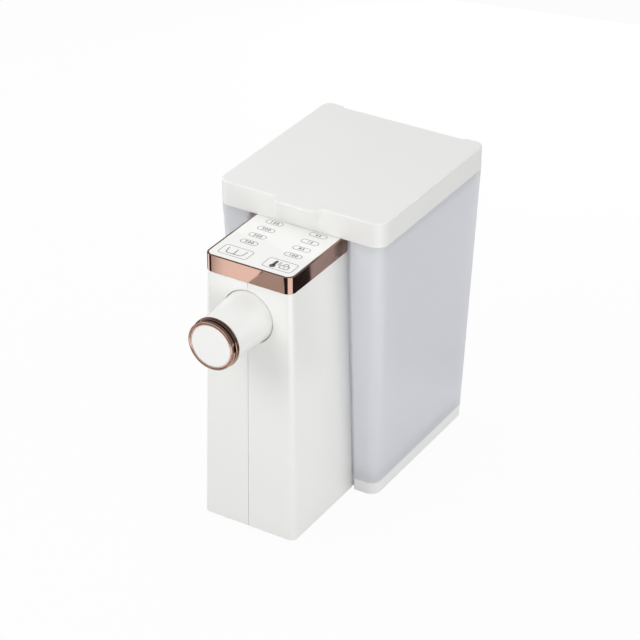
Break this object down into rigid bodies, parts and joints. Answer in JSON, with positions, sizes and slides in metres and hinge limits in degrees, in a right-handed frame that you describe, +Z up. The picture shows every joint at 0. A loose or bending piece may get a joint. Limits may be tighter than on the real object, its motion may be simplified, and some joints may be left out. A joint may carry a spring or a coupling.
{
  "type": "instant hot water dispenser",
  "caption": "Slim white countertop hot water dispenser: flared column with a push-button spout, touch panel in a plated band, and a lift-off milky tank with a flat lid.",
  "frame": {"origin": "middle of the whole outline on the table, under the feet", "axes": "+Z up; the spout points along -Y; +X is to the right when facing the spout"},
  "size_m": [0.15, 0.2892, 0.2591],
  "materials": {
    "white_abs": "satin moulded",
    "lid_abs": "fine satin moulded",
    "panel_acrylic": "smooth gloss",
    "milky_tank": "milky translucent moulded",
    "rose_gold_plating": "bright plated",
    "grey_plastic": "moulded",
    "dark_plastic": "moulded",
    "silicone": "soft satin",
    "foot_rubber": "matt",
    "steel": "brushed",
    "bright_steel": "zinc plated",
    "sink_aluminium": "extruded",
    "circuit_board": "solder mask"
  },
  "bodies": {
    "root": {"body_shell_left": "white_abs", "body_shell_right": "white_abs", "base_plate": "grey_plastic", "rubber_feet": "foot_rubber", "base_screws": "bright_steel", "tank_deck": "white_abs", "cord_bush": "grey_plastic", "tank_socket": "grey_plastic", "panel_band": "rose_gold_plating", "band_screws": "bright_steel", "touch_panel": "panel_acrylic", "touch_board": "circuit_board", "nose_housing": "white_abs", "nose_collar": "rose_gold_plating", "button_switch": "dark_plastic", "steam_chamber": "grey_plastic", "outlet_nozzle": "silicone", "heater_tube": "steel", "heater_inlet_cap": "dark_plastic", "heater_outlet_cap": "dark_plastic", "heater_clips": "bright_steel", "thermostats": "dark_plastic", "power_board": "circuit_board", "board_screws": "bright_steel", "heat_sink": "sink_aluminium", "pump_housing": "dark_plastic", "pump_shaft": "bright_steel", "pump_cover": "grey_plastic", "flow_meter": "grey_plastic", "meter_axle": "bright_steel", "meter_cover": "grey_plastic", "inlet_hose": "silicone", "heater_hose": "silicone", "outlet_hose": "silicone"},
    "button": {"button_cap": "white_abs", "button_rim": "rose_gold_plating", "button_spring": "bright_steel"},
    "impeller": {"impeller": "dark_plastic"},
    "turbine": {"turbine": "grey_plastic"},
    "tank": {"tank": "milky_tank", "valve_body": "grey_plastic", "valve_nut": "grey_plastic", "valve_seal": "silicone", "filter_cap": "grey_plastic", "valve_spring": "bright_steel"},
    "valve_plunger": {"valve_plunger": "dark_plastic"},
    "lid": {"lid_shell": "lid_abs", "lid_base": "lid_abs", "lid_gasket": "silicone"}
  },
  "joints": [
    {"name": "button_press", "type": "slide", "parent": "root", "child": "button", "axis": [0, 1, 0], "range_m": [0, 0.0012], "stiffness_N_per_m": 1500, "deforming": ["button_spring"]},
    {"name": "impeller_spin", "type": "hinge", "parent": "root", "child": "impeller", "pos_m": [0, -0.052, 0.0201], "axis": [0, 1, 0], "continuous": true},
    {"name": "turbine_spin", "type": "hinge", "parent": "root", "child": "turbine", "pos_m": [0.0088, -0.0526, 0.047], "axis": [0, 0, 1], "continuous": true},
    {"name": "tank_lift", "type": "slide", "parent": "root", "child": "tank", "axis": [0, 0, 1], "range_m": [0, 0.06]},
    {"name": "plunger_drop", "type": "slide", "parent": "tank", "child": "valve_plunger", "axis": [0, 0, -1], "range_m": [0, 0.0026], "deforming": ["valve_spring"]},
    {"name": "lid_lift", "type": "slide", "parent": "tank", "child": "lid", "axis": [0, 0, 1], "range_m": [0, 0.06]}
  ],
  "couplings": [
    {"joint": "plunger_drop", "follows": "tank_lift", "ratio": 0.0425}
  ]
}
